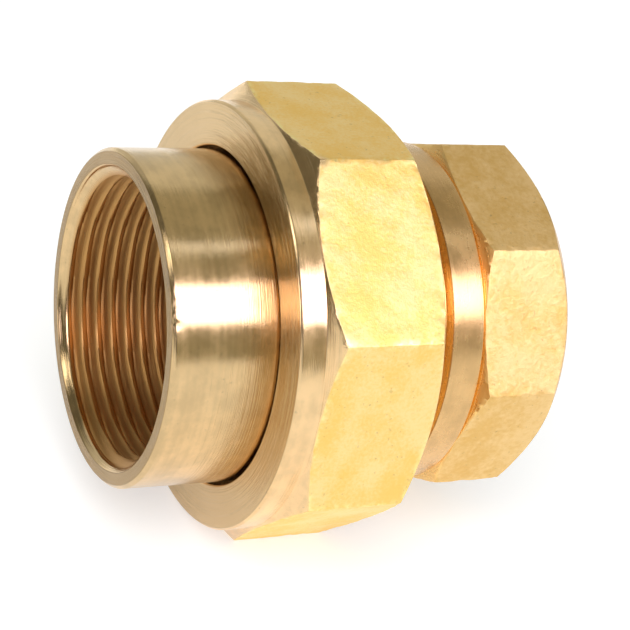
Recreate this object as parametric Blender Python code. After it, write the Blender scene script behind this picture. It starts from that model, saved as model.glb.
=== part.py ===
"""A three-piece brass barrel union for 1 1/4 inch pipe, female thread at both ends.

The pipe's axis runs along X and the octagonal nut lies on one of its flats. The tailpiece is the turned
barrel at -X. Its flange is caught by the lip inside the union nut, and the nut's thread pulls it, through a
flat seal ring, against the face of the body at +X. It is drawn made up, with the joint closed.

Every piece is a ring with a closed section, so each is built the way a lathe makes it: by carrying its
section round the axis. Distances along the axis are counted from the barrel's open end.
"""

import math

import bmesh
import bpy

MM = 0.001

# Whole fitting
LENGTH = 59.5 * MM
NUT_ACROSS_FLATS = 61.0 * MM
BODY_ACROSS_FLATS = 49.0 * MM
BODY_FLAT_ANGLE = math.radians(20.3)  # how far the body's octagon stands turned against the nut's
SEGMENTS = 40  # straight sides of every round surface, a multiple of 8 so that corners fall on them

# Pipe thread, 1 1/4 inch parallel: 11 threads to the inch, 55 degree flanks
PIPE_MAJOR_R = 20.955 * MM
PIPE_MINOR_R = 19.476 * MM
PIPE_PITCH = 2.309 * MM
PIPE_GROOVE_FLAT = 0.384 * MM
PIPE_SOCKET_DEPTH = 17.0 * MM
PIPE_MOUTH_R = 21.15 * MM
FLOW_BORE_R = 18.2 * MM

# Union thread, between the nut and the body
UNION_PITCH = 2.309 * MM
UNION_CREST_R = 26.8 * MM
UNION_ROOT_R = 25.5 * MM
UNION_CREST_FLAT = 0.214 * MM
NUT_GROOVE_R = 27.15 * MM
NUT_RIDGE_R = 25.85 * MM
NUT_GROOVE_FLAT = 0.35 * MM
FLANK_SLOPE = math.tan(math.radians(27.5))
RUN_OUT = 0.6  # share of a pitch over which a thread starts or fades

# Tailpiece
BARREL_R = 23.4 * MM
FLANGE_R = 25.4 * MM
FLANGE_BACK = 18.4 * MM
FLANGE_FACE = 21.4 * MM
EDGE_BREAK = 0.5 * MM

# Seal ring, with its clearances to the two faces that squeeze it
FACE_GAP = 0.3 * MM
SEAL_THICKNESS = 2.0 * MM
SEAL_INNER_R = 18.6 * MM
SEAL_OUTER_R = 25.0 * MM
SEAL_EDGE = 0.3 * MM

# Union nut
NUT_FRONT = 14.6 * MM
LIP_BORE_R = 23.85 * MM
LIP_CHAMFER = 0.3 * MM
LIP_BACK = 18.1 * MM
COLLAR_R = 30.2 * MM
COLLAR_EDGE = 0.3 * MM
NUT_SHOULDER = 18.2 * MM
NUT_REAR = 35.7 * MM
NUT_CHAMFER_SLOPE = 0.62  # axial run of the turned chamfers for each unit of radius
NUT_RECESS_R = 27.4 * MM
NUT_THREAD_START = 22.4 * MM

# Body
BODY_FACE = 24.0 * MM
BODY_THREAD_END = 36.2 * MM
RELIEF_R = 22.8 * MM
NECK_START = 40.35 * MM
NECK_END = 45.1 * MM
NECK_R = 24.8 * MM
NECK_GROOVE_R = 24.0 * MM
BODY_SHOULDER = 45.4 * MM
BODY_SHOULDER_SLOPE = 0.5
BODY_END_R = 23.9 * MM
BODY_END_SLOPE = 0.88

BRASS = (0.60, 0.42, 0.19, 1.0)
YELLOW_BRASS = (0.68, 0.50, 0.22, 1.0)
CAST_BRASS = (0.62, 0.45, 0.20, 1.0)
BLACK_RUBBER = (0.02, 0.02, 0.022, 1.0)


class Turning:
    """One ring-shaped piece: rows of points round the axis, joined row to row and closed on themselves."""

    def __init__(self, name, flat_angle=0.0):
        self.name = name
        self.flat_angle = flat_angle
        corner = flat_angle + math.pi / 8
        self.angles = [corner + 2 * math.pi * i / SEGMENTS for i in range(SEGMENTS + 1)]
        self.mesh = bmesh.new()
        self.rows = []

    def point(self, index, x, radius):
        angle = self.angles[index]
        return self.mesh.verts.new((x, radius * math.cos(angle), radius * math.sin(angle)))

    def row(self, places):
        """Adds a closed row from one (x, radius) for each angle, and gives it back."""
        points = [self.point(index, *place) for index, place in enumerate(places)]
        self.rows.append(points + points[:1])
        return self.rows[-1]

    def circle(self, x, radius):
        return self.row([(x, radius)] * SEGMENTS)

    def circles(self, *places):
        for x, radius in places:
            self.circle(x, radius)

    def octagon_radius(self, index, across_flats):
        """The octagon's radius at an angle: half its width across flats over the cosine from the flat's middle."""
        side = math.pi / 4
        turn = (self.angles[index] - self.flat_angle + side / 2) % side - side / 2
        return across_flats / 2 / math.cos(turn)

    def chamfered_edge(self, across_flats, x_at, radius_at, slope):
        """The scalloped line where a cone cuts the octagon: x = x_at + slope * (radius - radius_at)."""
        radii = [self.octagon_radius(index, across_flats) for index in range(SEGMENTS)]
        self.row([(x_at + slope * (radius - radius_at), radius) for radius in radii])

    def thread(self, start, end, inner, outer, outer_flat, pitch, end_radii, falling=False):
        """A right-hand thread between two circles of end_radii, into which it fades over RUN_OUT.

        A point's distance along the axis is the pitch times its turns round the axis, plus its place across
        the tooth. Rows run from start to end, or from end to start where the section falls back along X.
        """
        flank = (outer - inner) * FLANK_SLOPE
        places = [-outer_flat / 2, outer_flat / 2, outer_flat / 2 + flank, pitch - outer_flat / 2 - flank]
        radii = [outer, outer, inner, inner]
        fade = RUN_OUT * pitch
        first = [self.point(index, start, end_radii[0]) for index in range(SEGMENTS)]
        last = [self.point(index, end, end_radii[1]) for index in range(SEGMENTS)]
        known = {}

        def vertex(index, step):
            turns, place = divmod(step, len(places))
            x = places[place] + pitch * (turns + self.angles[index] / (2 * math.pi))
            if index == SEGMENTS:
                return vertex(0, step + len(places))
            if x <= start:
                return first[index]
            if x >= end:
                return last[index]
            if (index, step) not in known:
                radius = radii[place]
                for near, end_radius in ((x - start, end_radii[0]), (end - x, end_radii[1])):
                    radius += (end_radius - radius) * (1 - min(1, near / fade))
                known[index, step] = self.point(index, x, radius)
            return known[index, step]

        turns_before = math.floor(start / pitch) - 2
        turns_after = math.ceil(end / pitch) + 1
        steps = range(turns_before * len(places), turns_after * len(places))
        rows = [[vertex(index, step) for index in range(SEGMENTS + 1)] for step in steps]
        self.rows += rows[::-1] if falling else rows

    def build(self, colour, roughness, metallic=1.0):
        """Joins each row to the next, and the last to the first, then makes the object."""
        for row, following in zip(self.rows, self.rows[1:] + self.rows[:1]):
            for i in range(SEGMENTS):
                corners = dict.fromkeys((row[i], row[i + 1], following[i + 1], following[i]))
                if len(corners) > 2:
                    self.mesh.faces.new(corners)
        loose = [vertex for vertex in self.mesh.verts if not vertex.link_faces]
        bmesh.ops.delete(self.mesh, geom=loose, context="VERTS")
        bmesh.ops.recalc_face_normals(self.mesh, faces=self.mesh.faces)
        data = bpy.data.meshes.new(self.name)
        self.mesh.to_mesh(data)
        self.mesh.free()
        data.shade_smooth()
        data.set_sharp_from_angle(angle=math.radians(25))
        data.materials.append(metal_or_rubber(self.name, colour, roughness, metallic))
        piece = bpy.data.objects.new(self.name, data)
        piece.location = (-LENGTH / 2, 0, NUT_ACROSS_FLATS / 2)
        bpy.context.scene.collection.objects.link(piece)
        return piece


def metal_or_rubber(name, colour, roughness, metallic):
    material = bpy.data.materials.new(name)
    material.use_nodes = True
    shader = material.node_tree.nodes["Principled BSDF"]
    shader.inputs["Base Color"].default_value = colour
    shader.inputs["Roughness"].default_value = roughness
    shader.inputs["Metallic"].default_value = metallic
    material.diffuse_color = colour
    return material


def tailpiece():
    """The plain barrel, its flange, and the pipe thread in its mouth, which runs out before the flange."""
    mouth = PIPE_MOUTH_R - PIPE_MINOR_R
    socket_end = mouth + PIPE_SOCKET_DEPTH
    piece = Turning("tailpiece")
    piece.circles(
        (0, PIPE_MOUTH_R),
        (0, BARREL_R - EDGE_BREAK),
        (EDGE_BREAK, BARREL_R),
        (FLANGE_BACK, BARREL_R),
        (FLANGE_BACK, FLANGE_R),
        (FLANGE_FACE, FLANGE_R),
        (FLANGE_FACE, FLOW_BORE_R),
        (socket_end, FLOW_BORE_R),
    )
    piece.thread(
        PIPE_MOUTH_R - PIPE_MAJOR_R,
        socket_end - MM,
        PIPE_MINOR_R,
        PIPE_MAJOR_R,
        PIPE_GROOVE_FLAT,
        PIPE_PITCH,
        (PIPE_MAJOR_R, PIPE_MINOR_R),
        falling=True,
    )
    return piece.build(BRASS, 0.28)


def seal_ring():
    """The flat rubber washer, with its edges eased."""
    near = FLANGE_FACE + FACE_GAP
    far = near + SEAL_THICKNESS
    piece = Turning("seal_ring")
    piece.circles(
        (near, SEAL_INNER_R + SEAL_EDGE),
        (near, SEAL_OUTER_R - SEAL_EDGE),
        (near + SEAL_EDGE, SEAL_OUTER_R),
        (far - SEAL_EDGE, SEAL_OUTER_R),
        (far, SEAL_OUTER_R - SEAL_EDGE),
        (far, SEAL_INNER_R + SEAL_EDGE),
        (far - SEAL_EDGE, SEAL_INNER_R),
        (near + SEAL_EDGE, SEAL_INNER_R),
    )
    return piece.build(BLACK_RUBBER, 0.7, metallic=0.0)


def union_nut():
    """The octagonal nut: collar and lip in front, turned chamfers at both ends, its thread behind a recess."""
    mouth = (NUT_RECESS_R - NUT_RIDGE_R) / 2
    piece = Turning("union_nut")
    piece.circles(
        (NUT_FRONT, LIP_BORE_R + LIP_CHAMFER),
        (NUT_FRONT, COLLAR_R - COLLAR_EDGE),
        (NUT_FRONT + COLLAR_EDGE, COLLAR_R),
        (NUT_SHOULDER, COLLAR_R),
    )
    piece.chamfered_edge(NUT_ACROSS_FLATS, NUT_SHOULDER, COLLAR_R, NUT_CHAMFER_SLOPE)
    piece.chamfered_edge(NUT_ACROSS_FLATS, NUT_REAR, COLLAR_R, -NUT_CHAMFER_SLOPE)
    piece.circles(
        (NUT_REAR, COLLAR_R),
        (NUT_REAR, NUT_RECESS_R),
    )
    piece.thread(
        NUT_THREAD_START,
        NUT_REAR - mouth,
        NUT_RIDGE_R,
        NUT_GROOVE_R,
        NUT_GROOVE_FLAT,
        UNION_PITCH,
        (NUT_GROOVE_R, NUT_GROOVE_R),
        falling=True,
    )
    piece.circles(
        (NUT_THREAD_START - FACE_GAP, NUT_RECESS_R),
        (LIP_BACK, NUT_RECESS_R),
        (LIP_BACK, LIP_BORE_R),
        (NUT_FRONT + LIP_CHAMFER, LIP_BORE_R),
    )
    return piece.build(YELLOW_BRASS, 0.3)


def body():
    """The body: union thread, relief groove, turned neck, octagonal end with its pipe thread, and its face."""
    mouth = PIPE_MOUTH_R - PIPE_MINOR_R
    socket_end = LENGTH - mouth - PIPE_SOCKET_DEPTH
    piece = Turning("body", BODY_FLAT_ANGLE)
    piece.circles(
        (BODY_FACE, FLOW_BORE_R),
        (BODY_FACE, UNION_ROOT_R - FACE_GAP),
    )
    piece.thread(
        BODY_FACE + FACE_GAP,
        BODY_THREAD_END,
        UNION_ROOT_R,
        UNION_CREST_R,
        UNION_CREST_FLAT,
        UNION_PITCH,
        (UNION_ROOT_R, UNION_ROOT_R),
    )
    piece.circles(
        (BODY_THREAD_END + FACE_GAP, RELIEF_R),
        (NECK_START, RELIEF_R),
        (NECK_START, NECK_R),
        (NECK_END, NECK_R),
        (NECK_END, NECK_GROOVE_R),
        (BODY_SHOULDER, NECK_GROOVE_R),
    )
    piece.chamfered_edge(BODY_ACROSS_FLATS, BODY_SHOULDER, NECK_GROOVE_R, BODY_SHOULDER_SLOPE)
    piece.chamfered_edge(BODY_ACROSS_FLATS, LENGTH, BODY_END_R, -BODY_END_SLOPE)
    piece.circles(
        (LENGTH, BODY_END_R),
        (LENGTH, PIPE_MOUTH_R),
    )
    piece.thread(
        socket_end + MM,
        LENGTH - PIPE_MOUTH_R + PIPE_MAJOR_R,
        PIPE_MINOR_R,
        PIPE_MAJOR_R,
        PIPE_GROOVE_FLAT,
        PIPE_PITCH,
        (PIPE_MINOR_R, PIPE_MAJOR_R),
        falling=True,
    )
    piece.circle(socket_end, FLOW_BORE_R)
    return piece.build(CAST_BRASS, 0.38)


for old in list(bpy.data.objects):
    bpy.data.objects.remove(old)

body()
seal_ring()
tailpiece()
union_nut()
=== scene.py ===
"""The looks of a three-piece brass barrel union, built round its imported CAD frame.

The pipe's axis runs along X at half the nut's width above the floor. Distances along the axis are counted
from the barrel's open end, and angles round it from +Y towards +Z. All sizes are in metres.
"""

import itertools
import math

import bpy
import numpy as np
from mathutils import Matrix, Vector


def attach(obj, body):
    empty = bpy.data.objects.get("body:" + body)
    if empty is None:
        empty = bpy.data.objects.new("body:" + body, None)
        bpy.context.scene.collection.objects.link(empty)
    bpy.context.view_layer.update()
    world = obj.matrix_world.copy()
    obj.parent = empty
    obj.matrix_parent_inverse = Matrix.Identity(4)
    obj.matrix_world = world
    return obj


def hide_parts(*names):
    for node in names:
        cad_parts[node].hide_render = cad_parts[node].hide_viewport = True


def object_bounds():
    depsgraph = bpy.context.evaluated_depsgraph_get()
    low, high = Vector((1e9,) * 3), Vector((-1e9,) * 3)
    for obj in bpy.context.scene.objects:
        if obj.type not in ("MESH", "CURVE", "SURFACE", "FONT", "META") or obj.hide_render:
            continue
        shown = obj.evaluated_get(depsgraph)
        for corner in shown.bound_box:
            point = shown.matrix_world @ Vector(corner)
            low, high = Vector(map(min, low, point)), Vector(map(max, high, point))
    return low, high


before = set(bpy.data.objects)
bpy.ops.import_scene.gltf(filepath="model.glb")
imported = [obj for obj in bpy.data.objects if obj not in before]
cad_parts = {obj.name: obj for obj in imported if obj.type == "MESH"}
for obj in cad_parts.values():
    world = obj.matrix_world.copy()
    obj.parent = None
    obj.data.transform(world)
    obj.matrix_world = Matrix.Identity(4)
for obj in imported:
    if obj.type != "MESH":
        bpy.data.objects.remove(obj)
cad_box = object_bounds()

# ---------------------------------------------------------------------------------------------------------
# Camera, floor and studio lights
# The fitting lies on a pale table that glows a little. One long softbox hangs in front of it and one thin
# strip above, both parallel to the pipe. A small panel stands past the barrel's end, and a wide one behind.
# ---------------------------------------------------------------------------------------------------------
MM = 0.001
OPEN_END = cad_box[0].x
AXIS_HEIGHT = (cad_box[0].z + cad_box[1].z) / 2

CAMERA_AIM = Vector((1.71 * MM, -0.91 * MM, 30.5 * MM))
CAMERA_DISTANCE = 261.5 * MM
CAMERA_AZIMUTH = math.radians(-30.63)
CAMERA_ELEVATION = math.radians(27.15)
CAMERA_ROLL = math.radians(13.24)
CAMERA_LENS = 103.35  # millimetres, on a sensor 36 wide

camera = bpy.data.objects.new("camera", bpy.data.cameras.new("camera"))
camera.data.lens = CAMERA_LENS
camera.data.sensor_width = 36.0
camera.data.clip_start = 0.01
back = Vector((
    math.sin(CAMERA_AZIMUTH) * math.cos(CAMERA_ELEVATION),
    -math.cos(CAMERA_AZIMUTH) * math.cos(CAMERA_ELEVATION),
    math.sin(CAMERA_ELEVATION),
))
upright = back.to_track_quat("Z", "Y").to_matrix()
camera.matrix_world = Matrix.Translation(CAMERA_AIM + back * CAMERA_DISTANCE) @ (
    upright @ Matrix.Rotation(CAMERA_ROLL, 3, "Z")
).to_4x4()
bpy.context.scene.collection.objects.link(camera)
bpy.context.scene.camera = camera
bpy.context.scene.view_settings.view_transform = "Standard"

FLOOR_DROP = 0.15 * MM
FLOOR_HALF_WIDTH = 40.0
FLOOR_COLOUR = (0.70, 0.70, 0.70, 1)
FLOOR_GLOW_COLOUR = (0.88, 0.92, 1.0, 1)
FLOOR_GLOW = 0.50

far = FLOOR_HALF_WIDTH
floor_corners = [(-far, -far), (far, -far), (far, far), (-far, far)]
floor_mesh = bpy.data.meshes.new("floor")
floor_mesh.from_pydata([(x, y, -FLOOR_DROP) for x, y in floor_corners], [], [(0, 1, 2, 3)])
floor = bpy.data.objects.new("floor", floor_mesh)
bpy.context.scene.collection.objects.link(floor)
paint = bpy.data.materials.new("light_table")
paint.use_nodes = True
table_top = paint.node_tree.nodes["Principled BSDF"]
table_top.inputs["Base Color"].default_value = FLOOR_COLOUR
table_top.inputs["Roughness"].default_value = 0.9
table_top.inputs["Specular IOR Level"].default_value = 0.0
table_top.inputs["Emission Color"].default_value = FLOOR_GLOW_COLOUR
table_top.inputs["Emission Strength"].default_value = FLOOR_GLOW
floor_mesh.materials.append(paint)

ROOM_COLOUR = (1.0, 0.96, 0.72, 1)
ROOM_LEVEL = 0.40
ROOM_LEFT_LEVEL = 0.14  # beyond the barrel's end, where the room is darker
ROOM_DARK_FROM = -0.65  # how far a direction points along the pipe where the room is at its darkest


class Field:
    """A value, colour or vector in a node tree. Arithmetic on values adds Math nodes, so that shader maths
    reads as an expression, and node() adds any other node."""

    def __init__(self, tree, socket=None):
        self.tree = tree
        self.socket = socket

    def node(self, kind, settings, sockets, output=0):
        """Adds a node, makes its settings, then sets or links its sockets, and gives one output back."""
        made = self.tree.nodes.new("ShaderNode" + kind)
        for name, value in settings.items():
            setattr(made, name, value)
        for name, value in sockets.items():
            if isinstance(value, Field):
                self.tree.links.new(value.socket, made.inputs[name])
            else:
                made.inputs[name].default_value = value
        return Field(self.tree, made.outputs[output] if made.outputs else None)

    def outputs(self):
        """All the outputs of the node that this value comes from."""
        return [Field(self.tree, socket) for socket in self.socket.node.outputs]

    def math(self, operation, *values):
        return self.node("Math", {"operation": operation}, dict(enumerate(values)))

    def __add__(self, other):
        return self.math("ADD", self, other)

    def __radd__(self, other):
        return self.math("ADD", other, self)

    def __sub__(self, other):
        return self.math("SUBTRACT", self, other)

    def __rsub__(self, other):
        return self.math("SUBTRACT", other, self)

    def __mul__(self, other):
        return self.math("MULTIPLY", self, other)

    def __rmul__(self, other):
        return self.math("MULTIPLY", other, self)

    def __pow__(self, other):
        return self.math("POWER", self, other)

    def between(self, low, high):
        """0 up to low, 1 from high on, and eased in between."""
        sockets = {"Value": self, "From Min": low, "From Max": high}
        return self.node("MapRange", {"interpolation_type": "SMOOTHSTEP"}, sockets)

    def noise(self, scale, detail=2.0, roughness=0.5):
        """Noise at this place, about 0.5, with that many lumps to the metre."""
        sockets = {"Vector": self, "Scale": scale, "Detail": detail, "Roughness": roughness}
        return self.node("TexNoise", {}, sockets)

    def blend(self, low, high):
        """One colour where this value is 0 and the other where it is 1."""
        sockets = {0: self, 6: low, 7: high}
        return self.node("Mix", {"data_type": "RGBA", "clamp_factor": True}, sockets, output=2)


world = bpy.data.worlds.new("studio")
world.use_nodes = True
world.node_tree.nodes.clear()
start = Field(world.node_tree)
direction = start.node("TexCoord", {}, {})
along, _, _ = direction.node("SeparateXYZ", {}, {"Vector": direction}).outputs()
level = ROOM_LEFT_LEVEL + along.between(ROOM_DARK_FROM, 0.0) * (ROOM_LEVEL - ROOM_LEFT_LEVEL)
room = start.node("Background", {}, {"Color": ROOM_COLOUR, "Strength": level})
start.node("OutputWorld", {}, {"Surface": room})
bpy.context.scene.world = world


def softbox(name, ring_angle, distance, along, size, radiance, colour):
    """A rectangular lamp beside the pipe's axis. It stands at an angle round the axis and a distance from it,
    and at a place along it, with its long side parallel to the pipe, and shines with the stated radiance. It
    shows only in polished metal, so that the table stays evenly lit."""
    lamp = bpy.data.lights.new(name, "AREA")
    lamp.shape = "RECTANGLE"
    lamp.size, lamp.size_y = size
    lamp.energy = radiance * math.pi * size[0] * size[1]
    lamp.color = colour
    box = bpy.data.objects.new(name, lamp)
    turn = math.radians(ring_angle)
    box.location = (along, distance * math.cos(turn), AXIS_HEIGHT + distance * math.sin(turn))
    box.rotation_euler = (turn - math.pi / 2, 0, 0)
    box.visible_camera = False
    box.visible_diffuse = False
    bpy.context.scene.collection.objects.link(box)


softbox(
    "key_softbox", ring_angle=142.5, distance=0.70, along=0.06, size=(1.7, 0.31), radiance=4.7,
    colour=(1.0, 0.93, 1.15),
)
softbox(
    "top_strip", ring_angle=104.0, distance=0.80, along=0.40, size=(0.9, 0.08), radiance=1.1,
    colour=(0.88, 0.97, 1.20),
)
softbox(
    "back_panel", ring_angle=20.0, distance=0.90, along=0.45, size=(2.2, 1.35), radiance=0.34,
    colour=(0.92, 1.0, 1.08),
)
softbox(
    "left_panel", ring_angle=95.0, distance=0.50, along=-0.76, size=(0.5, 0.22), radiance=3.6,
    colour=(1.0, 0.98, 0.96),
)

TABLE_LIGHT_LEVEL = 2.7
TABLE_LIGHT_ELEVATION = math.radians(45)
TABLE_LIGHT_SPREAD = math.radians(50)

# A sun behind the camera lights the table evenly, and polished metal doesn't mirror it.
from_table = Vector((
    math.sin(CAMERA_AZIMUTH) * math.cos(TABLE_LIGHT_ELEVATION),
    -math.cos(CAMERA_AZIMUTH) * math.cos(TABLE_LIGHT_ELEVATION),
    math.sin(TABLE_LIGHT_ELEVATION),
))
table_light = bpy.data.objects.new("table_light", bpy.data.lights.new("table_light", "SUN"))
table_light.data.energy = TABLE_LIGHT_LEVEL
table_light.data.angle = TABLE_LIGHT_SPREAD
table_light.rotation_euler = from_table.to_track_quat("Z", "Y").to_euler()
table_light.visible_glossy = False
bpy.context.scene.collection.objects.link(table_light)

# ---------------------------------------------------------------------------------------------------------
# Tailpiece
# The barrel that screws onto the pipe: turned from brass bar, with a female pipe thread cut in its mouth and
# a flange at its far end, which the nut's lip pulls on. Its outside keeps the fine rings of the lathe tool.
# ---------------------------------------------------------------------------------------------------------
BARREL_R = 23.4 * MM
BARREL_EDGE = 0.5 * MM
FLANGE_R = 25.4 * MM
FLANGE_BACK = 18.4 * MM
FLANGE_FACE = 21.4 * MM
FLOW_BORE_R = 18.2 * MM
PIPE_MAJOR_R = 20.955 * MM
PIPE_MINOR_R = 19.476 * MM
PIPE_PITCH = 2.309 * MM
PIPE_GROOVE_FLAT = 0.384 * MM
PIPE_MOUTH_R = 21.15 * MM
PIPE_SOCKET_END = PIPE_MOUTH_R - PIPE_MINOR_R + 17.0 * MM
FLANK = math.tan(math.radians(27.5))
THREAD_STEPS = 12  # rows for each pitch
THREAD_ROUNDING = 0.95 * MM
RUN_OUT = 0.6  # share of a pitch over which a thread starts or fades
ROUNDING_STEPS = 5
FINE = 0.12 * MM  # the usual easing of a turned edge
MOUTH_EASING = 0.1 * MM
FLANGE_EASING = 0.3 * MM
SHARP_ANGLE = math.radians(50)
LATTICE = 64  # values along each side of the block of random heights, before it repeats

BARREL_BRASS = (0.71, 0.50, 0.26)
BARREL_ROUGHNESS = 0.17
# Painted shade: faces square to the axis are coloured darker than the turned brass, for the dim surroundings
# they mirror.
BARREL_END_PAINTED_SHADE = (0.37, 0.23, 0.08)
BORE_PAINTED_SHADE = (0.74, 0.58, 0.38)  # painted shade: times the turned colour, darker in a threaded bore
BORE_RADII = (21.0 * MM, 21.2 * MM)  # over which a bore's painted shade and rougher finish give way to an end ring's
BORE_PLACES = (28.1 * MM, 28.9 * MM)  # and the same for the distance from the fitting's middle

OBJECT_OUTPUT = 3  # of a Texture Coordinate node
VALUE_OUTPUT = 2  # of an Attribute node
ROUND_SHARE = 0.006  # how little the lathe's rings change on the way round, next to along the axis

# Lumps to the metre of each pattern in the brass
LATHE_RINGS = 8000
TOOL_BANDS = 900
STAINS = 240
SPECKS = 1500
FORGED_GRAIN = 2100
FORGED_PATCHES = 130
FORGED_PITS = 1300
RUBBED_SPOTS = 650

# Heights of the patterns, in microns
MICRON = 1e-6
RING_HEIGHT = 34
FACED_RING_HEIGHT = 100
BAND_HEIGHT = 8


def rounded_least(a, b, rounding):
    """The smaller of two values, with the crossover rounded by a parabola of the stated width."""
    near = np.clip(1 - np.abs(a - b) / rounding, 0, None)
    return np.minimum(a, b) - near**2 * rounding / 4


def thread(start, end, inner, outer, outer_flat, pitch, end_radii, angles):
    """Rows of a right-hand thread between two places. Its outer radius lies wherever the distance along the
    axis, less the pitch times the turns round it, is a whole number of pitches. From there the 55 degree
    flanks fall to the inner radius, with roots and crests rounded, and both ends fade to a plain circle."""
    steps = round((end - start) / pitch * THREAD_STEPS)
    x = np.linspace(start, end, steps + 1)[:, None] + 0 * angles
    turns = x / pitch - angles / (2 * math.pi)
    across = np.abs(turns - np.round(turns)) * pitch
    flank = outer - (across - outer_flat / 2) / FLANK
    radius = rounded_least(outer, -rounded_least(-inner, -flank, THREAD_ROUNDING), THREAD_ROUNDING)
    for distance, end_radius in ((x - start, end_radii[0]), (end - x, end_radii[1])):
        share = np.clip(distance / (RUN_OUT * pitch), 0, 1)
        radius = end_radius + (radius - end_radius) * share
    return x, radius


def section(corners, angles):
    """Rows of a section from its corners, each (x, radius, easing, steps). A corner is rounded off by a
    parabola that leaves one line and meets the next at the easing's distance from the corner, and the line
    after it is cut into that many steps. x and radius may vary with the angle."""
    points = np.array([[x + 0 * angles, radius + 0 * angles] for x, radius, _, _ in corners])
    ahead = np.diff(points, axis=0)
    ahead /= np.hypot(ahead[:, 0], ahead[:, 1])[:, None]
    still = np.zeros_like(points[:1])
    behind, ahead = np.concatenate([still, -ahead]), np.concatenate([ahead, still])
    rows = []
    for index, (_, _, easing, _) in enumerate(corners):
        share = np.linspace(0, 1, ROUNDING_STEPS if easing else 1)[:, None, None]
        leave, meet = points[index] + behind[index] * easing, points[index] + ahead[index] * easing
        rows.append((1 - share) ** 2 * leave + 2 * share * (1 - share) * points[index] + share**2 * meet)
    lines = []
    for (_, _, _, steps), row, following in zip(corners, rows, rows[1:]):
        share = np.linspace(0, 1, steps + 1)[1:-1, None, None]
        lines.append(row[-1] + share * (following[0] - row[-1]))
    laid = np.concatenate([part for pair in zip(rows, lines) for part in pair] + rows[-1:])
    return laid[:, 0], laid[:, 1]


def dented(x, radius, angles, dents):
    """The radius less each dent: a bell of the stated depth and width about its place and its angle."""
    for place, angle, depth, width in dents:
        turn = np.angle(np.exp(1j * (angles - math.radians(angle))))
        away = np.hypot(x - place, radius * turn)
        radius = radius - depth * np.exp(-((away / width) ** 2))
    return radius


def lumps(place, size, seed):
    """Smooth random heights from -1 to 1: a random value on each corner of a cubic lattice of that size, and
    between corners the average of the nearest eight, weighted by an eased share of the distance."""
    heights = np.random.default_rng(seed).uniform(-1, 1, (LATTICE, LATTICE, LATTICE))
    cell = np.floor(place / size).astype(int)
    share = place / size - cell
    share = share * share * (3 - 2 * share)
    total = 0
    for corner in itertools.product((0, 1), repeat=3):
        weight = np.prod(np.where(corner, share, 1 - share), axis=-1)
        total = total + weight * heights[tuple(np.moveaxis((cell + corner) % LATTICE, -1, 0))]
    return total


def placed(x, radius, angles):
    """Points on the fitting: along the axis from the barrel's end, and the radius turned round the axis."""
    return np.stack([OPEN_END + x, radius * np.cos(angles), AXIS_HEIGHT + radius * np.sin(angles)], -1)


def ring_piece(name, x, radius, angles, attributes=()):
    """A closed ring-shaped mesh from rows of points round the axis. Each point joins the next in its row and
    in the next row, and the last row joins the first. Attributes are named values, one for each point, and
    "faced" is added: the square of the sine of the profile's slope, 1 on a face square to the axis."""
    place = placed(x, radius, angles).reshape(-1, 3)
    run, rise = (np.roll(value, -1, 0) - np.roll(value, 1, 0) for value in (x, radius))
    attributes = (*attributes, ("faced", rise**2 / (run**2 + rise**2)))
    here = np.arange(len(place)).reshape(x.shape)
    beside, beyond = np.roll(here, -1, 1), np.roll(here, -1, 0)
    quads = np.stack([here, beside, np.roll(beside, -1, 0), beyond], -1).reshape(-1, 4)
    mesh = bpy.data.meshes.new(name)
    mesh.vertices.add(len(place))
    mesh.vertices.foreach_set("co", place.astype(np.float32).ravel())
    mesh.loops.add(quads.size)
    mesh.loops.foreach_set("vertex_index", quads.astype(np.int32).ravel())
    mesh.polygons.add(len(quads))
    mesh.polygons.foreach_set("loop_start", np.arange(0, quads.size, 4, dtype=np.int32))
    mesh.update(calc_edges=True)
    mesh.set_sharp_from_angle(angle=SHARP_ANGLE)
    for label, values in attributes:
        layer = mesh.attributes.new(label, "FLOAT", "POINT")
        layer.data.foreach_set("value", np.asarray(values, np.float32).ravel())
    piece = bpy.data.objects.new(name, mesh)
    bpy.context.scene.collection.objects.link(piece)
    return piece


def new_material(name):
    """A material with only its output, and the Field that its nodes start from."""
    made = bpy.data.materials.new(name)
    made.use_nodes = True
    made.node_tree.nodes.clear()
    return made, Field(made.node_tree)


def finish_material(start, shader_sockets):
    """Gives the material its one shader."""
    start.node("OutputMaterial", {}, {"Surface": start.node("BsdfPrincipled", {}, shader_sockets)})


def rgba(colour, level=1.0):
    """A colour times a level, with the full opacity that a colour socket wants."""
    return (*(level * part for part in colour), 1.0)


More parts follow.
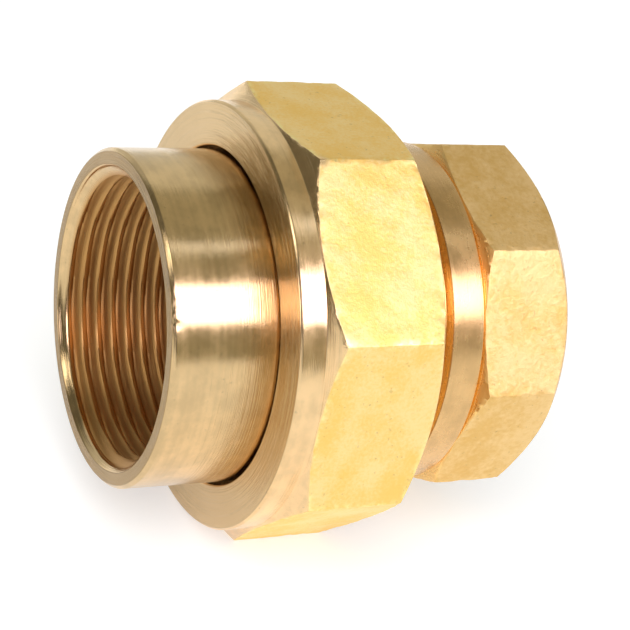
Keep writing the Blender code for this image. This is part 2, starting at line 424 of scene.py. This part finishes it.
def brass(name, turned, turned_roughness, ends, flats=None, grain=0, grain_scale=1.0, wear_and_glint=0.0, hollow=None):
    """Brass with the lathe's rings on what was turned, and painted shade on its ends and in its bore: colours
    darker than the turned brass, for the dimmer light there, and the bore is also rougher. Where the
    attribute "flat" is 1 it has the satin skin of the forging instead, in two colours, with grain of the
    stated height in microns, and where "edge" is 1 that skin is rubbed and made paler by the stated amount,
    partly real wear and partly a painted highlight along the edge. The hollow is painted bounce light, a
    bright colour for a relief groove and a shoulder, then the radii and places over which that colour gives
    way."""
    made, start = new_material(name)
    place = start.node("TexCoord", {}, {}, output=OBJECT_OUTPUT)
    place = place.node("Mapping", {}, {"Vector": place, "Location": (0, 0, -AXIS_HEIGHT)})
    x, y, z = place.node("SeparateXYZ", {}, {"Vector": place}).outputs()
    radius = (y * y + z * z) ** 0.5
    around = place.node("CombineXYZ", {}, {0: x, 1: radius, 2: (y + z) * ROUND_SHARE})
    rings = around.noise(LATHE_RINGS, 2, 0.6)
    bands = around.noise(TOOL_BANDS, 2)
    stains = place.noise(STAINS, 4, 0.6)
    specks = place.noise(SPECKS, 2).between(0.68, 0.76)
    faced = start.node("Attribute", {"attribute_name": "faced"}, {}, output=VALUE_OUTPUT)
    faced = faced.between(0.7, 0.95)
    mouth_start, mouth_end = BORE_PLACES
    bore = (1 - radius.between(*BORE_RADII)) * (1 - (x * x).between(mouth_start**2, mouth_end**2))

    colour = (0.3 * bands + 0.7 * stains).between(0.36, 0.64).blend(rgba(turned, 0.86), rgba(turned, 1.06))
    # Painted shade: faces square to the axis take the darker end colour.
    colour = faced.blend(colour, rgba(ends))
    # Painted bounce light: the relief groove and the shoulder are coloured bright orange.
    if hollow:
        hollow_bounce_light, neck_radii, shoulder_places, octagon_places = hollow
        proud = radius.between(*neck_radii) * (1 - x.between(*shoulder_places))
        sunk = (1 - proud) * (1 - x.between(*octagon_places))
        colour = sunk.blend(colour, rgba(hollow_bounce_light))
    # Painted shade: the threaded bore is coloured darker than the turned brass.
    colour = bore.blend(colour, rgba([part * tint for part, tint in zip(turned, BORE_PAINTED_SHADE)]))
    roughness = turned_roughness + (bands - 0.5) * 0.10 + (stains - 0.5) * 0.22 + bore * 0.24
    height = rings * (RING_HEIGHT + FACED_RING_HEIGHT * faced) + bands * BAND_HEIGHT

    if flats:
        gold, pale = flats
        flat = start.node("Attribute", {"attribute_name": "flat"}, {}, output=VALUE_OUTPUT)
        edge = start.node("Attribute", {"attribute_name": "edge"}, {}, output=VALUE_OUTPUT)
        skin = place.noise(FORGED_GRAIN * grain_scale, 4, 0.65)
        patches = place.noise(FORGED_PATCHES, 3, 0.6)
        pits = (place.noise(FORGED_PITS, 2) + edge * 0.07).between(0.69, 0.76)
        skin_colour = (0.6 * patches + 0.4 * skin).between(0.38, 0.62).blend(rgba(gold), rgba(pale))
        skin_colour = (pits * 0.30).blend(skin_colour, rgba(gold, 0.5))
        # Rubbed edges are paler and smoother: partly real wear, partly a painted highlight along the edge.
        worn_and_glint = edge * place.noise(RUBBED_SPOTS, 3, 0.6).between(0.45, 0.65) * wear_and_glint
        skin_colour = worn_and_glint.blend(skin_colour, rgba([min(1, 1.15 * part) for part in pale]))
        colour = flat.blend(colour, skin_colour)
        skin_roughness = 0.56 + (patches - 0.5) * 0.15 - worn_and_glint * 0.2
        roughness = roughness + flat * (skin_roughness - roughness)
        skin_height = skin * grain - pits * 0.2 * grain
        height = height + flat * (skin_height - height)

    colour = (specks * 0.3).blend(colour, rgba(turned, 0.35))
    normal = start.node("Bump", {}, {"Height": height, "Distance": MICRON, "Strength": 1.0})
    finish_material(start, {"Base Color": colour, "Metallic": 1.0, "Roughness": roughness, "Normal": normal})
    return made


BARREL_ANGLES = np.linspace(0, 2 * math.pi, 384, endpoint=False)
BARREL_DENTS = [  # place along the axis, angle in degrees, depth, width
    (0.30 * MM, 152.0, 0.10 * MM, 0.45 * MM),
    (0.25 * MM, 147.5, 0.14 * MM, 0.40 * MM),
    (0.40 * MM, 143.0, 0.08 * MM, 0.50 * MM),
    (0.20 * MM, 118.0, 0.05 * MM, 0.60 * MM),
]

outside = section([
    (2 * MOUTH_EASING, PIPE_MOUTH_R - 2 * MOUTH_EASING, 0, 1),
    (0, PIPE_MOUTH_R, MOUTH_EASING, 5),
    (0, BARREL_R - BARREL_EDGE, FINE, 1),
    (BARREL_EDGE, BARREL_R, FINE, 40),
    (FLANGE_BACK, BARREL_R, FINE, 3),
    (FLANGE_BACK, FLANGE_R, FINE, 3),
    (FLANGE_FACE, FLANGE_R, FLANGE_EASING, 6),
    (FLANGE_FACE, FLOW_BORE_R, FLANGE_EASING, 3),
    (PIPE_SOCKET_END, FLOW_BORE_R, FINE, 2),
    (PIPE_SOCKET_END - MM, PIPE_MINOR_R, 0, 1),
], BARREL_ANGLES)
x, radius = thread(
    PIPE_MOUTH_R - PIPE_MAJOR_R, PIPE_SOCKET_END - MM, PIPE_MINOR_R, PIPE_MAJOR_R, PIPE_GROOVE_FLAT,
    PIPE_PITCH, (PIPE_MAJOR_R, PIPE_MINOR_R), BARREL_ANGLES,
)
radius = -rounded_least(-radius, x - PIPE_MOUTH_R, FINE)
keep = x[:, 0] > 3 * MOUTH_EASING
x, radius = x[keep][-2::-1], radius[keep][-2::-1]
x, radius = np.concatenate([outside[0], x]), np.concatenate([outside[1], radius])
radius = dented(x, radius, BARREL_ANGLES, BARREL_DENTS)
tailpiece = ring_piece("brass_tailpiece", x, radius, BARREL_ANGLES)
tailpiece.data.materials.append(brass("barrel_brass", BARREL_BRASS, BARREL_ROUGHNESS, BARREL_END_PAINTED_SHADE))
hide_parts("tailpiece")
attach(tailpiece, "tailpiece")

# ---------------------------------------------------------------------------------------------------------
# Union nut
# The large octagonal nut: a brass forging whose ends, collar, bore and thread are turned. Its lip catches the
# barrel's flange. The flats keep the satin skin of the forging, with ragged edges where the tool left them.
# ---------------------------------------------------------------------------------------------------------
NUT_ACROSS_FLATS = 61.0 * MM
NUT_FRONT = 14.6 * MM
LIP_BORE_R = 23.85 * MM
LIP_CHAMFER = 0.3 * MM
LIP_BACK = 18.1 * MM
COLLAR_R = 30.2 * MM
COLLAR_EDGE = 0.3 * MM
NUT_SHOULDER = 18.2 * MM
NUT_REAR = 35.7 * MM
NUT_CHAMFER_SLOPE = 0.62  # run along the axis of the turned chamfers for each unit of radius
NUT_RECESS_R = 27.4 * MM
NUT_THREAD_START = 22.4 * MM
NUT_GROOVE_R = 27.15 * MM
NUT_RIDGE_R = 25.85 * MM
NUT_GROOVE_FLAT = 0.35 * MM
RECESS_EASING = 0.25 * MM
UNION_PITCH = 2.309 * MM
CORNER_ROUNDING = 0.35 * MM
CORNER_CROWDING = 1.6  # how much closer together the columns of points are at the corners
SKIN_DEPTH = 0.15 * MM  # how far under the octagon a point still counts as on its flats
SKIN_SETBACK = 0.03 * MM  # how far the uneven skin lies under the octagon on average
EDGE_WIDTH = 0.5 * MM
CHIP_DEPTH = 0.20 * MM
CHIP_SIZE = 1.2 * MM

NUT_TURNED_BRASS = (0.86, 0.60, 0.32)
NUT_ROUGHNESS = 0.18
# Painted shade: the nut's end faces are coloured darker than its turned brass, for the dim surroundings they
# mirror.
NUT_END_PAINTED_SHADE = (0.65, 0.45, 0.22)
NUT_FLAT_GOLD = (0.93, 0.63, 0.18)
NUT_FLAT_PALE = (0.95, 0.73, 0.33)


def octagon_angles(flat_angle, steps):
    """Angles round an octagon, that many to each side, and closer together towards its corners."""
    share = np.linspace(-1, 1, steps, endpoint=False)
    bend = np.sign(share) * np.abs(share) ** CORNER_CROWDING * math.pi / 8
    side = np.arange(8)[:, None] * math.pi / 4 + math.pi / 8
    return (flat_angle + side + bend).ravel()


def octagon(angles, flat_angle, across_flats):
    """The octagon's radius at each angle, with rounded corners, and the distance from the nearest corner.
    On a flat it is half the width over the cosine of the angle from the flat's middle. At a corner it is the
    far crossing of the ray with a circle that touches both flats."""
    side = math.pi / 4
    turn = (angles - flat_angle) % side - side / 2
    flat = across_flats / 2 / np.cos(side / 2 - np.abs(turn))
    centre = (across_flats / 2 - CORNER_ROUNDING) / math.cos(side / 2)
    touch = math.atan2(CORNER_ROUNDING * math.sin(side / 2), centre + CORNER_ROUNDING * math.cos(side / 2))
    inside = np.clip(CORNER_ROUNDING**2 - (centre * np.sin(turn)) ** 2, 0, None)
    arc = centre * np.cos(turn) + np.sqrt(inside)
    return np.where(np.abs(turn) < touch, arc, flat), np.abs(turn) * across_flats / 2


def forged(x, radius, angles, octagon_radius, from_corner, ends, seed):
    """The radius with the forging's unevenness on the flats, and two values for each point: how far it is on
    a flat, and how near it is to an edge of one."""
    under, inside = octagon_radius - radius, np.minimum(x - ends[0], ends[1] - x)
    flat = np.clip(1 - under / SKIN_DEPTH, 0, 1) * np.clip(1 + inside / SKIN_DEPTH, 0, 1)
    place = placed(x, radius, angles)
    uneven = 0.045 * MM * lumps(place, 2.6 * MM, seed) + 0.03 * MM * lumps(place, 1.1 * MM, seed + 1)
    edge = np.exp(-((np.minimum(from_corner, np.abs(inside)) / EDGE_WIDTH) ** 2))
    chipped = CHIP_DEPTH * edge * np.clip(lumps(place, CHIP_SIZE, seed + 2) + 0.1, 0, None)
    return radius + flat * (uneven - SKIN_SETBACK - chipped), flat, flat * edge


NUT_ANGLES = octagon_angles(0.0, 60)
NUT_DENTS = [(20.1 * MM, 112.6, 0.18 * MM, 0.80 * MM)]

nut_octagon, nut_from_corner = octagon(NUT_ANGLES, 0.0, NUT_ACROSS_FLATS)
front_edge = NUT_SHOULDER + NUT_CHAMFER_SLOPE * (nut_octagon - COLLAR_R)
rear_edge = NUT_REAR - NUT_CHAMFER_SLOPE * (nut_octagon - COLLAR_R)
nut_mouth = (NUT_RECESS_R - NUT_RIDGE_R) / 2
outside = section([
    (NUT_FRONT, LIP_BORE_R + LIP_CHAMFER, FINE, 8),
    (NUT_FRONT, COLLAR_R - COLLAR_EDGE, FINE, 1),
    (NUT_FRONT + COLLAR_EDGE, COLLAR_R, FINE, 6),
    (NUT_SHOULDER, COLLAR_R, FINE, 4),
    (front_edge, nut_octagon, FINE, 34),
    (rear_edge, nut_octagon, FINE, 4),
    (NUT_REAR, COLLAR_R, FINE, 3),
    (NUT_REAR, NUT_RECESS_R, FINE, 1),
    (NUT_REAR - nut_mouth, NUT_GROOVE_R, 0, 1),
], NUT_ANGLES)
grooves = thread(
    NUT_THREAD_START, NUT_REAR - nut_mouth, NUT_RIDGE_R, NUT_GROOVE_R, NUT_GROOVE_FLAT, UNION_PITCH,
    (NUT_GROOVE_R, NUT_GROOVE_R), NUT_ANGLES,
)
inside = section([
    (NUT_THREAD_START - 0.3 * MM, NUT_RECESS_R, 0, 3),
    (LIP_BACK, NUT_RECESS_R, RECESS_EASING, 3),
    (LIP_BACK, LIP_BORE_R, FINE, 3),
    (NUT_FRONT + LIP_CHAMFER, LIP_BORE_R, FINE, 1),
    (NUT_FRONT + LIP_CHAMFER / 2, LIP_BORE_R + LIP_CHAMFER / 2, 0, 1),
], NUT_ANGLES)
x, radius = (
    np.concatenate([around, cut[-2::-1], bore]) for around, cut, bore in zip(outside, grooves, inside)
)
radius = dented(x, radius, NUT_ANGLES, NUT_DENTS)
radius, flat, edge = forged(
    x, radius, NUT_ANGLES, nut_octagon, nut_from_corner, (front_edge, rear_edge), seed=3
)
union_nut = ring_piece("brass_union_nut", x, radius, NUT_ANGLES, (("flat", flat), ("edge", edge)))
union_nut.data.materials.append(brass(
    "nut_brass", NUT_TURNED_BRASS, NUT_ROUGHNESS, NUT_END_PAINTED_SHADE, flats=(NUT_FLAT_GOLD, NUT_FLAT_PALE),
    grain=50, wear_and_glint=0.8,
))
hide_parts("union_nut")
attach(union_nut, "nut")

# ---------------------------------------------------------------------------------------------------------
# Body
# The part that stays on the other pipe: a brass forging with an octagonal end, a turned neck, a relief groove
# and the male union thread. Its flats are coarser than the nut's. The same pipe thread is cut in its far end.
# ---------------------------------------------------------------------------------------------------------
LENGTH = cad_box[1].x - cad_box[0].x
BODY_ACROSS_FLATS = 49.0 * MM
BODY_FLAT_ANGLE = math.radians(20.3)
BODY_FACE = 24.0 * MM
UNION_CREST_R = 26.8 * MM
UNION_ROOT_R = 25.5 * MM
UNION_CREST_FLAT = 0.214 * MM
BODY_THREAD_END = 36.2 * MM
RELIEF_R = 22.8 * MM
NECK_START = 40.35 * MM
NECK_END = 45.1 * MM
NECK_R = 24.8 * MM
NECK_GROOVE_R = 24.0 * MM
BODY_SHOULDER = 45.4 * MM
BODY_SHOULDER_SLOPE = 0.5
BODY_END_R = 23.9 * MM
BODY_END_SLOPE = 0.88
FACE_GAP = 0.3 * MM
RELIEF_EASING = 0.2 * MM
NECK_EASING = 0.08 * MM
SHOULDER_EASING = 0.05 * MM
SUNK_RADII = (24.4 * MM, 24.8 * MM)  # over which the groove's painted bounce light gives way to the neck's colour
SHOULDER_PLACES = (15.2 * MM, 15.4 * MM)  # where the shoulder starts, from the fitting's middle
OCTAGON_PLACES = (18.0 * MM, 19.0 * MM)  # and where it has ended

BODY_TURNED_BRASS = (0.74, 0.47, 0.21)
BODY_ROUGHNESS = 0.27
# Painted shade: the body's end faces are coloured darker than its turned brass, for the dim surroundings they
# mirror.
BODY_END_PAINTED_SHADE = (0.62, 0.41, 0.18)
# Painted light: a bright orange for the relief groove and the shoulder, standing in for light bounced between
# the brass parts.
BODY_HOLLOW_BOUNCE_LIGHT = (0.94, 0.62, 0.24)
BODY_FLAT_GOLD = (0.75, 0.49, 0.16)
BODY_FLAT_PALE = (0.84, 0.61, 0.28)

BODY_ANGLES = octagon_angles(BODY_FLAT_ANGLE, 44)

body_octagon, body_from_corner = octagon(BODY_ANGLES, BODY_FLAT_ANGLE, BODY_ACROSS_FLATS)
front_edge = BODY_SHOULDER + BODY_SHOULDER_SLOPE * (body_octagon - NECK_GROOVE_R)
rear_edge = LENGTH - BODY_END_SLOPE * (body_octagon - BODY_END_R)
socket_end = LENGTH - PIPE_SOCKET_END
face = section([
    (BODY_FACE, FLOW_BORE_R, 0, 5),
    (BODY_FACE, UNION_ROOT_R - FACE_GAP, FINE, 1),
    (BODY_FACE + FACE_GAP, UNION_ROOT_R, 0, 1),
], BODY_ANGLES)
ridges = thread(
    BODY_FACE + FACE_GAP, BODY_THREAD_END, UNION_ROOT_R, UNION_CREST_R, UNION_CREST_FLAT, UNION_PITCH,
    (UNION_ROOT_R, UNION_ROOT_R), BODY_ANGLES,
)
outside = section([
    (BODY_THREAD_END + FACE_GAP, RELIEF_R, 0, 3),
    (NECK_START, RELIEF_R, RELIEF_EASING, 2),
    (NECK_START, NECK_R, FINE, 6),
    (NECK_END, NECK_R, NECK_EASING, 1),
    (NECK_END, NECK_GROOVE_R, NECK_EASING, 1),
    (BODY_SHOULDER, NECK_GROOVE_R, SHOULDER_EASING, 3),
    (front_edge, body_octagon, FINE, 28),
    (rear_edge, body_octagon, FINE, 4),
    (LENGTH, BODY_END_R, FINE, 3),
    (LENGTH, PIPE_MOUTH_R, MOUTH_EASING, 1),
    (LENGTH - 2 * MOUTH_EASING, PIPE_MOUTH_R - 2 * MOUTH_EASING, 0, 1),
], BODY_ANGLES)
x, radius = thread(
    socket_end + MM, LENGTH - PIPE_MOUTH_R + PIPE_MAJOR_R, PIPE_MINOR_R, PIPE_MAJOR_R, PIPE_GROOVE_FLAT,
    PIPE_PITCH, (PIPE_MINOR_R, PIPE_MAJOR_R), BODY_ANGLES,
)
radius = -rounded_least(-radius, LENGTH - x - PIPE_MOUTH_R, FINE)
keep = x[:, 0] < LENGTH - 3 * MOUTH_EASING
bore = section([
    (socket_end + 0.8 * MM, PIPE_MINOR_R - 0.2 * (PIPE_MINOR_R - FLOW_BORE_R), 0, 1),
    (socket_end, FLOW_BORE_R, FINE, 3),
    (BODY_FACE + 0.5 * MM, FLOW_BORE_R, 0, 1),
], BODY_ANGLES)
x, radius = (
    np.concatenate([start, thread_rows[1:], around, cut[::-1], end])
    for start, thread_rows, around, cut, end in zip(face, ridges, outside, (x[keep], radius[keep]), bore)
)
radius, flat, edge = forged(
    x, radius, BODY_ANGLES, body_octagon, body_from_corner, (front_edge, rear_edge), seed=11
)
body = ring_piece("brass_body", x, radius, BODY_ANGLES, (("flat", flat), ("edge", edge)))
body.data.materials.append(brass(
    "body_brass", BODY_TURNED_BRASS, BODY_ROUGHNESS, BODY_END_PAINTED_SHADE, flats=(BODY_FLAT_GOLD, BODY_FLAT_PALE),
    grain=120, grain_scale=0.6, wear_and_glint=0.3,
    hollow=(BODY_HOLLOW_BOUNCE_LIGHT, SUNK_RADII, SHOULDER_PLACES, OCTAGON_PLACES),
))
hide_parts("body")
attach(body, "body")

# ---------------------------------------------------------------------------------------------------------
# Seal ring
# A flat black rubber washer, squeezed between the barrel's flange and the body's face. It is stamped from
# sheet, so its faces are a little dusty and its cut edges are eased.
# ---------------------------------------------------------------------------------------------------------
SEAL_NEAR = FLANGE_FACE + FACE_GAP
SEAL_FAR = SEAL_NEAR + 2.0 * MM
SEAL_INNER_R = 18.6 * MM
SEAL_OUTER_R = 25.0 * MM
SEAL_MIDDLE_R = (SEAL_INNER_R + SEAL_OUTER_R) / 2
SEAL_EDGE = 0.3 * MM
RUBBER = (0.018, 0.018, 0.019)
DUST_SPOTS = 700  # lumps to the metre
RUBBER_GRAIN = 4200

SEAL_ANGLES = np.linspace(0, 2 * math.pi, 256, endpoint=False)

# Its rows start and end in the middle of the face that meets the flange.
x, radius = section([
    (SEAL_NEAR, SEAL_MIDDLE_R, 0, 4),
    (SEAL_NEAR, SEAL_OUTER_R, SEAL_EDGE, 3),
    (SEAL_FAR, SEAL_OUTER_R, SEAL_EDGE, 8),
    (SEAL_FAR, SEAL_INNER_R, SEAL_EDGE, 3),
    (SEAL_NEAR, SEAL_INNER_R, SEAL_EDGE, 4),
    (SEAL_NEAR, SEAL_MIDDLE_R - 0.5 * MM, 0, 1),
], SEAL_ANGLES)
seal_ring = ring_piece("rubber_seal_ring", x, radius, SEAL_ANGLES)
rubber, start = new_material("seal_rubber")
place = start.node("TexCoord", {}, {}, output=OBJECT_OUTPUT)
dust = place.noise(DUST_SPOTS, 5, 0.7)
texture = place.noise(RUBBER_GRAIN, 3, 0.6)
height = texture * 8 + dust * 10
finish_material(start, {
    "Base Color": dust.between(0.45, 0.75).blend(rgba(RUBBER), rgba(RUBBER, 3.2)),
    "Roughness": 0.62 + (dust - 0.5) * 0.3,
    "Normal": start.node("Bump", {}, {"Height": height, "Distance": MICRON, "Strength": 1.0}),
})
seal_ring.data.materials.append(rubber)
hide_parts("seal_ring")
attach(seal_ring, "seal")
